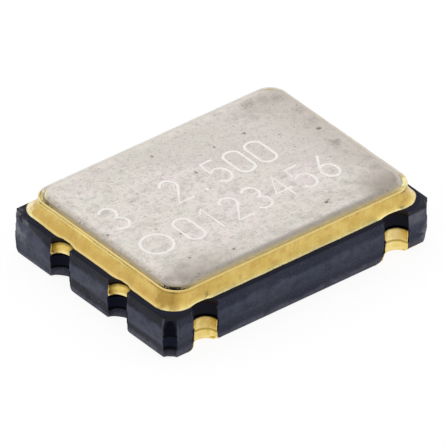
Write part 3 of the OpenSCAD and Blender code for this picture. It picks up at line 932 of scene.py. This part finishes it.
# %% Cut the stepped cavity
CAVITY_CORNER, WALL = 0.2, 0.75
PIT_L, PIT_W, SHELF_L = 1.45, 1.15, 0.85
cavity_l, cavity_w = half_l - WALL, half_w - WALL
pit = rounded_block("pit", PIT_L, PIT_W, CAVITY_CORNER, floor_z, ledge_z + 0.1)
pit.location.x = mm_middle("die_pad", 0)
only(pit)
freeze()
cut(body, pit)
room = rounded_block("room", cavity_l, cavity_w, CAVITY_CORNER, ledge_z, shelf_z + 0.05)
shelf = block("shelf", (-half_l, -half_w, ledge_z - 1), (-cavity_l + SHELF_L, half_w, shelf_z + 1))
cut(room, shelf)
cut(body, room)
cut(body, rounded_block("opening", cavity_l, cavity_w, CAVITY_CORNER, shelf_z, top_z + 0.1))
finished(body, ceramic, ["ceramic_body"])

# A corner on a recess gets 1. One on a notch gets less, by its height, and the right front
# notch, which light reaches, gets least. The material reads the number back and paints the
# walls darker by it, as painted shade.
marked = body.data.attributes.new("hollow", "FLOAT", "POINT")
for v, mark in zip(body.data.vertices, marked.data):
    p = v.co / MM
    gaps = [math.hypot(p.x - x, p.y - y) - r for x, y, r in recesses + notches]
    if min(gaps) < PUNCH_STEP + 0.004:
        which = gaps.index(min(gaps)) - len(recesses)
        mark.value = 1.0 if which < 0 else 0.2 if which == 2 else 0.98 if p.z > ledge_z else 0.84
print("corners on recess walls:", sum(m.value > 0.5 for m in marked.data))

# %% [markdown]
# ## The seal ring and its braze
#
# The ring is stamped from a thick metal strip: a rounded rectangle with a window. Its upper
# edge is a thin rounded lip, and inside the lip lies a slightly lower land, on which the lid
# was welded. The braze is melted silver that ran out under the ring and was drawn up its wall,
# so the wall spreads in a hollow curve down to a foot. Both are skins that pass through one
# outline after another, and they sit a few hundredths off centre, as brazed parts do.

# %% Outlines of the ring and its foot
RING_W, WINDOW_CORNER = 0.38, 0.25
RING_BOX = (ring_low.x + 0.03, ring_high.x - 0.012, ring_low.y - 0.05, ring_high.y)
RING_CORNERS = (0.50, 0.40, 0.45, 0.48)
FOOT_BOX = (foot_low.x + 0.01, foot_high.x, foot_low.y + 0.02, foot_high.y + 0.07)
FOOT_CORNERS = (0.40, 0.46, 0.38, 0.51)
# Where the braze spills out or falls short: x, y, how far and how wide.
SPILLS = [(-3.0, 2.6, 0.05, 0.22), (-3.4, 2.05, -0.03, 0.35), (3.42, -2.05, 0.055, 0.25)]
WINDOW_BOX = (ring_low.x + RING_W, ring_high.x - RING_W, ring_low.y + RING_W, ring_high.y - RING_W)

ring_line = outline(RING_BOX, RING_CORNERS)
foot_line = outline(FOOT_BOX, FOOT_CORNERS)
window_line = outline(WINDOW_BOX, (WINDOW_CORNER,) * 4)


def ragged(size, per_mm, seed):
    """A wave that wanders in and out along an outline."""
    return lambda p: size * noise.noise(Vector((p.x * per_mm, p.y * per_mm, seed)))


def near_corner(p, side_x, side_y, spread):
    """1 at one corner of the ring, and less with the distance from it."""
    box_x = RING_BOX[0] if side_x < 0 else RING_BOX[1]
    box_y = RING_BOX[2] if side_y < 0 else RING_BOX[3]
    away = math.hypot(p.x - box_x + side_x * 0.11, p.y - box_y + side_y * 0.11)
    return math.exp(-(away / spread) ** 2)


print("ring outline has", len(ring_line[0]), "corners")

# %% Ring
WAIST, LAND, CORNER_SAG = 0.004, 0.006, 0.022
lip = ragged(0.007, 5.0, 1.0)
profile = [(-WAIST, ring_low.z, 0), (-WAIST, lip_z - 0.095, 0), (-WAIST * 0.8, lip_z - 0.062, 0.6),
           (-0.002, lip_z - 0.045, 0.5), (0.0, lip_z - 0.034, 0.15), (0.0, lip_z - 0.018, 0),
           (-0.005, lip_z - 0.006, 0), (-0.014, lip_z, 0), (-0.030, lip_z, 0.1),
           (-0.042, lip_z - LAND * 0.7, 0.75), (-0.062, lip_z - LAND, 0.9),
           (-0.105, lip_z - LAND, 1), (-0.150, lip_z, 1)]
loops, marks = [], []
for out, z, mark in profile:
    loop = raised(ring_line, out, z, lip)
    if out < -0.035 and z < lip_z - TINY:
        for p in loop:
            p.z -= CORNER_SAG * (near_corner(p, -1, -1, 0.3) + near_corner(p, -1, 1, 0.3))
    loops.append(loop)
    # On the rings under and on the lip the number is painted shade, strongest near the corners; on
    # the land and the window it is weld soot and painted shade.
    if 0 < mark < 0.7:
        mark = [mark * (0.05 + sum(near_corner(p, a, b, 0.8) for a in (-1, 1) for b in (-1, 1)))
                for p in loop]
    marks.append(mark)
loops += [raised(window_line, 0, z) for z in (lip_z, ring_low.z)]
marks += [1, 0]
loops.append(loops[0])
ring = loft("gold_ring", loops, marks + [0], "soot_and_shade")
finished(ring, ring_gold, ["seal_ring"], 50)

# %% Braze
CLIMB_TOP, STEPS = lip_z - 0.08, 10
SHRUNK, SHRINK_REACH = 0.048, 0.09
wander = ragged(0.010, 2.6, 4.0)


def foot_wave(p):
    """The foot wanders, spills or falls short in places, and shrinks back over a recess."""
    hole = min(math.hypot(p.x - x, p.y - y) - r for x, y, r in recesses)
    spill = sum(amount * math.exp(-(math.hypot(p.x - x, p.y - y) / spread) ** 2)
                for x, y, amount, spread in SPILLS)
    return wander(p) + spill - SHRUNK * min(1.0, max(0.0, -hole / SHRINK_REACH))


loops = [raised(window_line, 0, foot_low.z),
         raised(foot_line, -0.006, foot_low.z, foot_wave),
         raised(foot_line, 0, foot_low.z + 0.009, foot_wave),
         raised(foot_line, -0.004, ring_low.z, foot_wave)]
top = raised(ring_line, -WAIST + 0.0008, 0, lip)
bottom = raised(foot_line, -0.008, 0, foot_wave)
for i in range(1, STEPS + 1):
    share = i / STEPS
    spread = (1 - share) ** 1.7
    z = ring_low.z + 0.006 + (CLIMB_TOP - ring_low.z) * share ** 1.1
    loops.append([b.lerp(a, 1 - spread) + UP * z for a, b in zip(top, bottom)])
loops += [raised(ring_line, -WAIST - 0.001, CLIMB_TOP + 0.004, lip),
          raised(ring_line, -WAIST - 0.001, ring_low.z, lip),
          raised(window_line, 0, ring_low.z)]
loops.append(loops[0])
# A number that the ring gold paints as a dark reflection on the braze at the front corner.
marks = [[0.6 * near_corner(p, -1, -1, 0.16) for p in loop] for loop in loops]
braze = loft("braze_fillet", loops, marks, "soot_and_shade")
finished(braze, ring_gold, ["ring_braze"], 50)

# %% [markdown]
# ## The lid
#
# The lid is a thin plate. Two tapered roller electrodes ran along its edges and squeezed them
# down, so the plate slopes from its flat top to a thin, slightly torn edge. It is a skin too:
# from the underside round the edge and up the slope, with the way in from the edge kept on its
# corners, so that the material knows where the weld band lies.

# %% Lid plate
SINK, BUCKLE = 0.003, 0.003
LID_BOX = (RING_BOX[0] + 0.060, RING_BOX[1] - 0.09, RING_BOX[2] + 0.085, RING_BOX[3] - 0.09)
LID_CORNERS = (0.465, 0.48, 0.47, 0.43)
flat_z = lid_high.z - SINK
lid_line = outline(LID_BOX, LID_CORNERS, 96, 70, 12)
torn, calm = ragged(0.014, 9.0, 7.0), ragged(0.006, 3.0, 7.0)
edge_z = lid_low.z
profile = [(0.030, edge_z), (-0.004, edge_z - 0.005), (0.004, edge_z + 0.006),
           (0.020, edge_z + 0.018), (0.045, edge_z + 0.033), (0.075, edge_z + 0.049),
           (0.105, edge_z + 0.063), (0.135, edge_z + 0.074), (0.165, edge_z + 0.082),
           (0.200, flat_z), (0.28, flat_z), (0.37, flat_z)]


def steeper(p):
    """How much narrower the slope is at a place: the back and right edges were pressed less."""
    back = min(1.0, max(0.0, (p.y - 1.6) / 0.5))
    right = min(1.0, max(0.0, (p.x - 2.5) / 0.5)) * min(1.0, max(0.0, (p.y + 2.1) / 0.6))
    return 0.5 * max(back, right)


loops, insets = [], []
for way_in, z in profile:
    wave = torn if way_in < 0.03 else calm
    loop = raised(lid_line, -way_in, z, lambda p: wave(p) + max(way_in, 0) * steeper(p))
    if 0.01 < way_in < 0.18:
        for p in loop:
            p.z += BUCKLE * noise.noise(Vector((p.x * 14, p.y * 14, way_in * 30)))
            p.z = min(p.z, flat_z)
    loops.append(loop)
    insets.append([max(way_in, 0.0) * (1 - steeper(p)) for p in lid_line[0]])
lid = loft("lid_plate", loops, insets, "inset")
finished(lid, nickel, ["lid"], 40)

# %% [markdown]
# ## Marks on the lid
#
# A laser writes on the lid with a thin line, which melts the nickel to a pale, matt bead. A
# real part would carry its frequency and code there. This one gets a ring, which shows the
# first terminal, and plain counting digits. Each digit is one pen stroke: a curve with a small
# round section, pressed nearly flat.

# %% Strokes of the digits
# A stroke's radius and how flat it is pressed, and the height that the digits are drawn at.
PEN, BEAD, DRAWN = 0.031, 0.09, 1.6


def arc(cx, cy, rx, ry, start, end, steps=18):
    """Points on part of an oval, for a pen stroke."""
    turns = [math.radians(start + (end - start) * i / steps) for i in range(steps + 1)]
    return [(cx + rx * math.cos(t), cy + ry * math.sin(t)) for t in turns]


STROKES = {
    "0": [arc(0.5, 1.28, 0.44, 0.32, 0, 180) + arc(0.5, 0.32, 0.44, 0.32, 180, 360)
          + [(0.94, 1.28)]],
    "1": [[(0.25, 1.3), (0.55, 1.6), (0.55, 0)]],
    "2": [arc(0.5, 1.2, 0.42, 0.40, 165, -35) + [(0.06, 0), (0.95, 0)]],
    "3": [arc(0.48, 1.2, 0.40, 0.40, 150, -80) + arc(0.48, 0.4, 0.44, 0.40, 85, -150)],
    "4": [[(0.72, 0), (0.72, 1.6), (0.04, 0.5), (0.98, 0.5)]],
    "5": [[(0.86, 1.6), (0.18, 1.6), (0.12, 0.86)] + arc(0.48, 0.5, 0.44, 0.50, 130, -145)],
    "6": [[(0.76, 1.6), (0.16, 0.78)] + arc(0.5, 0.46, 0.42, 0.46, 140, -225)],
    ".": [arc(0.5, 0.06, 0.05, 0.05, 0, 330, 6)],
}


def pen_stroke(points, closed=False):
    """A thin tube along a path on the lid, as a mesh."""
    curve = bpy.data.curves.new("stroke", "CURVE")
    curve.dimensions = "3D"
    curve.bevel_depth = PEN
    curve.bevel_resolution = 2
    curve.use_fill_caps = True
    line = curve.splines.new("POLY")
    line.points.add(len(points) - 1)
    for point, (x, y) in zip(line.points, points):
        point.co = (x, y, 0, 1)
    line.use_cyclic_u = closed
    piece = bpy.data.objects.new("stroke", curve)
    bpy.context.scene.collection.objects.link(piece)
    only(piece)
    bpy.ops.object.convert(target="MESH")
    return bpy.context.object


# %% Write the digits and the ring
HEIGHT, WIDTH = 0.81, 0.45
strokes = []


def write(text, left, baseline, pitch=0.60):
    """Writes digits in a row, with the pitch from one to the next."""
    for n, letter in enumerate(text):
        for stroke in STROKES.get(letter, []):
            x0 = left + n * pitch
            strokes.append(pen_stroke([(x0 + x * WIDTH, baseline + y * HEIGHT / DRAWN)
                                       for x, y in stroke]))


write("3", -2.72, 0.04)
write("2.500", -1.13, 0.04, 0.57)
write("0123456", -1.75, -1.21)
strokes.append(pen_stroke(arc(-2.38, -0.82, 0.35, 0.35, 0, 350, 35), True))
lid_marks = join(strokes, "lid_marks")
only(lid_marks)
lid_marks.scale.z = BEAD
lid_marks.location.z = flat_z
freeze()
finished(lid_marks, laser, [], 60)

# %% [markdown]
# ## Plating in the recesses
#
# Each terminal is a pad under the body and a half-round skin of plating that climbs the recess,
# so that solder can be seen to have wetted it. The skin is a peg without ends, cut in half,
# stepped like the ceramic behind it and thickened. The side contacts are the same skin in one
# sheet only.

# %% Plating skins
PLATING = 0.02
# Shrink turns one end of a skin back by so many times its angle. The top edge of a front lining
# wanders, and is slanted down to one side.
TURN_BACK, WANDER, SLANT, SLANT_FROM = 0.07, 0.012, 0.07, 0.15


def skin(x, y, radius, zones, smile=0.0, shrink=0):
    """A half-round skin of plating in one recess. zones is a list of (low, high, radius added).
    Shrink draws one end of the skin back from the mouth, and smile lifts the lower corner at the
    other."""
    low, high = zones[0][0], zones[-1][1]
    bpy.ops.mesh.primitive_cylinder_add(vertices=72, radius=radius - PLATING, depth=high - low,
                                        end_fill_type="NOTHING", location=(x, y, (low + high) / 2))
    freeze()
    piece = bpy.context.object
    edit(piece)
    cuts = [z for a, b, _ in zones for z in (a + 0.004, b - 0.004)][1:-1]
    cuts += [low + (high - low) * i / 12 for i in range(1, 12)]
    for z in cuts:
        bpy.ops.mesh.select_all(action="SELECT")
        bpy.ops.mesh.bisect(plane_co=(0, 0, z), plane_no=(0, 0, 1))
    bpy.ops.mesh.select_all(action="SELECT")
    inward = Vector((-x, 0, 0)) if abs(x) > half_l - TINY else Vector((0, -y, 0))
    bpy.ops.mesh.bisect(plane_co=(x, y, 0), plane_no=inward, clear_inner=True)
    done()
    for v in piece.data.vertices:
        extra = next((e for a, b, e in zones if a - TINY <= v.co.z <= b + TINY), 0)
        away = Vector((v.co.x - x, v.co.y - y, 0))
        turn = inward.xy.angle_signed(away.xy)
        if turn * shrink < 0:
            away.rotate(Euler((0, 0, turn * TURN_BACK)))
        v.co.xy = Vector((x, y)) + away.xy * (1 + extra / away.length)
        if v.co.z > high - TINY:
            v.co.z += WANDER * noise.noise(v.co * 6)
            if inward.y > 0:
                v.co.z -= SLANT * max(0.0, (x - v.co.x) / radius - SLANT_FROM)
        if v.co.z < low + TINY and turn * shrink > 0:
            v.co.z += smile * (turn / (math.pi / 2)) ** 2
    only(piece)
    shell = piece.modifiers.new("thickness", "SOLIDIFY")
    shell.thickness = PLATING
    face = piece.data.polygons[0]
    outward = Vector((face.center.x - x, face.center.y - y, 0))
    shell.offset = 1 if face.normal.dot(outward) > 0 else -1
    bpy.ops.object.modifier_apply(modifier=shell.name)
    for v in piece.data.vertices:
        wear(v.co)
        stay_inside(v.co)
    return piece


# %% Terminals
PAD_INNER, PAD_OUTER = 1.4, 2.5
for i in range(1, 5):
    low, high = mm_box(f"terminal_{i}")
    x = (low.x + high.x) / 2
    y = math.copysign(half_w, low.y)
    x += FRONT_DRIFT if x < 0 and y < 0 else 0
    lining = skin(x, y, TERMINAL_R, [(0.004, floor_z, PUNCH_STEP), (floor_z, high.z, 0)])
    near_y, far_y = sorted(y * reach / half_w for reach in (PAD_INNER, PAD_OUTER))
    pad = block("pad", (low.x, near_y, 0), (high.x, far_y, base_z))
    edit(pad)
    pick("EDGE", upright)
    bpy.ops.mesh.bevel(offset=0.08, segments=5, affect="EDGES")
    pick("EDGE", lambda e: abs(middle(e).z) < TINY)
    bpy.ops.mesh.bevel(offset=0.008, segments=2, affect="EDGES")
    done()
    cut(pad, peg(x, y, TERMINAL_R + PUNCH_STEP - PLATING / 2, -1, 1, 72))
    terminal = join([pad, lining], f"terminal_plating_{i}")
    finished(terminal, pad_gold, [f"terminal_{i}"])

# %% Side contacts
CONTACT_GAP, SMILE = 0.025, 0.08
for i in range(1, 5):
    low, high = mm_box(f"side_contact_{i}")
    x = math.copysign(half_l, low.x)
    y = (low.y + high.y) / 2 + (WEST_DRIFT if x < 0 else 0)
    contact = skin(x, y, CONTACT_R, [(low.z + CONTACT_GAP, high.z, PUNCH_STEP)], SMILE,
                   math.copysign(1, x))
    contact.name = f"contact_plating_{i}"
    finished(contact, contact_gold, [f"side_contact_{i}"])

# %% [markdown]
# ## Inside the package
#
# The pieces under the lid keep their exact CAD shapes. They get real finishes, so that the
# package looks right when someone lifts the lid: polished silicon with a fine pattern of
# circuit blocks, silver-filled glue, clear quartz, and thin silver electrodes.

# %% Inner materials
silicon, tree, shader, place = new_finish("silicon_chip", 0.6)
circuit = add(tree, "TexVoronoi", {"Vector": place, "Scale": 7.0, "Randomness": 0.6},
              distance="CHEBYCHEV").outputs["Distance"]
tone = layers(blend(fade(circuit, 0.2, 0.6), (86, 96, 118), (128, 118, 132)),
              (fade(grain(place, 30, 2), 0.5, 0.7, 0, 0.5), (60, 76, 92)))
coat(shader, tone, fade(circuit, 0.2, 0.6, 0.12, 0.3), (circuit, 0.002))

glue = mottled("silver_glue", 0.5, (45, 4), (0.35, 0.65), ((150, 146, 138), (206, 203, 196)),
               (0.65, 0.4), [(45, 4, 0.004), (7, 3, 0.01)])
quartz = mottled("quartz_blank", 0.0, (60, 3), (0.4, 0.6), ((226, 234, 238), (240, 244, 246)),
                 (0.12, 0.28), [(60, 3, 0.001)], **{"Transmission Weight": 0.85, "IOR": 1.54})
silver = mottled("silver_film", 1.0, (4, 3), (0.35, 0.65), ((228, 227, 224), (212, 210, 206)),
                 (0.15, 0.28), [(50, 2, 0.001)])
print("inner materials:", silicon.name, glue.name, quartz.name, silver.name)

# %% Dress the inner pieces
INNER = {
    "die_pad": land_gold, "bond_land": land_gold, "crystal_land": land_gold,
    "bond_wire": wire_gold, "die_attach": glue, "glue_spot": glue, "oscillator_chip": silicon,
    "crystal_blank": quartz, "electrode": silver,
}
dressed = 0
for name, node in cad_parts.items():
    for start, material in INNER.items():
        if name.startswith(start):
            node.data.materials.clear()
            node.data.materials.append(material)
            dressed += 1
print("inner pieces dressed:", dressed)

# %% [markdown]
# ## The box and the colours
#
# The visual model must fill the same box as the CAD model. The last step shows colours as they
# are, with the Standard view transform.

# %% Show colours as they are
bpy.context.scene.view_settings.view_transform = "Standard"
